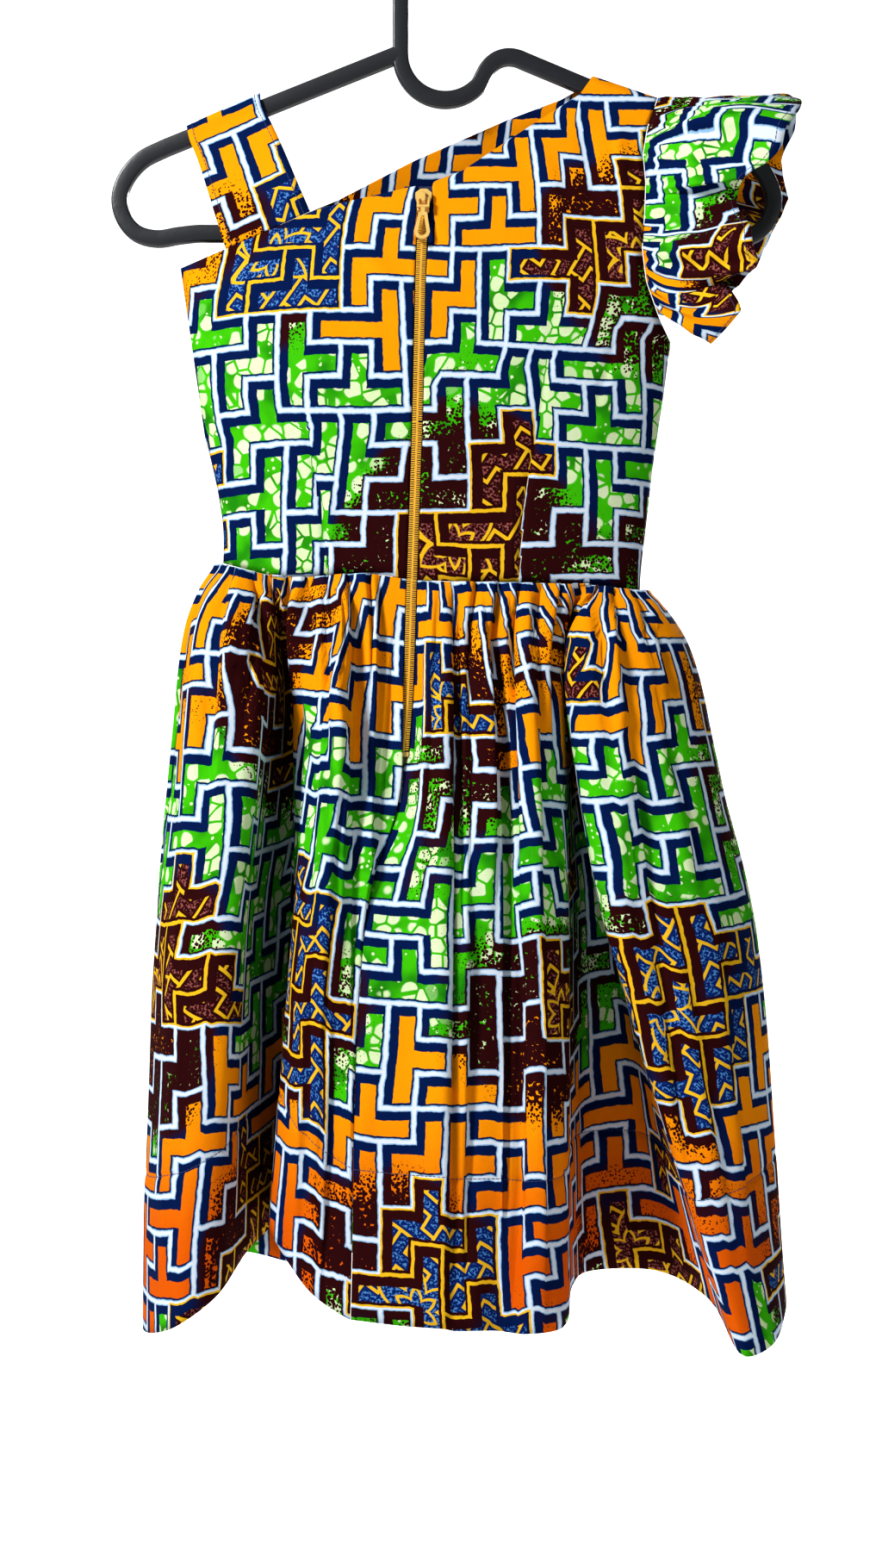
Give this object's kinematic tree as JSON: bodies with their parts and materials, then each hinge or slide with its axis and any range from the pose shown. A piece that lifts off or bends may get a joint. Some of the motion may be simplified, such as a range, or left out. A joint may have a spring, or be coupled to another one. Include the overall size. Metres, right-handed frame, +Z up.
{
  "type": "one-shoulder dress on a hanger",
  "caption": "Child's one-shoulder cotton dress with a gathered skirt, a ruffled cap sleeve and an exposed zip, hung on a plastic hanger.",
  "frame": {"origin": "inside top of the hanger's hook, where a rod carries it", "axes": "+Z up, +Y through the dress from its zipped back to its front, +X to the right as the zipped back is looked at"},
  "size_m": [0.437, 0.1689, 0.896],
  "materials": {
    "printed_cotton_orange": "plain-weave wax-printed cotton, mostly orange",
    "printed_cotton_green": "plain-weave wax-printed cotton, mostly green",
    "zip_gold": "polished gilt",
    "zip_tape": "woven navy tape",
    "hanger_plastic": "satin black moulding"
  },
  "bodies": {
    "dress": {"back_bodice_left": "printed_cotton_green", "back_bodice_right": "printed_cotton_green", "front_bodice": "printed_cotton_green", "shoulder_strap": "printed_cotton_orange", "sleeve_ruffle": "printed_cotton_orange", "skirt_back_left": "printed_cotton_orange", "skirt_back_right": "printed_cotton_orange", "skirt_front": "printed_cotton_orange", "zip_tape_left": "zip_tape", "zip_tape_right": "zip_tape", "zip_chain": "zip_gold", "zip_stop": "zip_gold", "zip_slider": "zip_gold", "hanger_hook": "hanger_plastic", "hanger_dip": "hanger_plastic", "hanger_arm_left": "hanger_plastic", "hanger_arm_right": "hanger_plastic", "hanger_end_left": "hanger_plastic", "hanger_end_right": "hanger_plastic", "hanger_lower_bar": "hanger_plastic"},
    "pull": {"zip_pull": "zip_gold"}
  },
  "joints": [
    {"name": "pull_swing", "type": "hinge", "parent": "dress", "child": "pull", "pos_m": [-0.01347, -0.02815, -0.18912], "axis": [-1, 0, 0], "range_deg": [0, 150]}
  ]
}
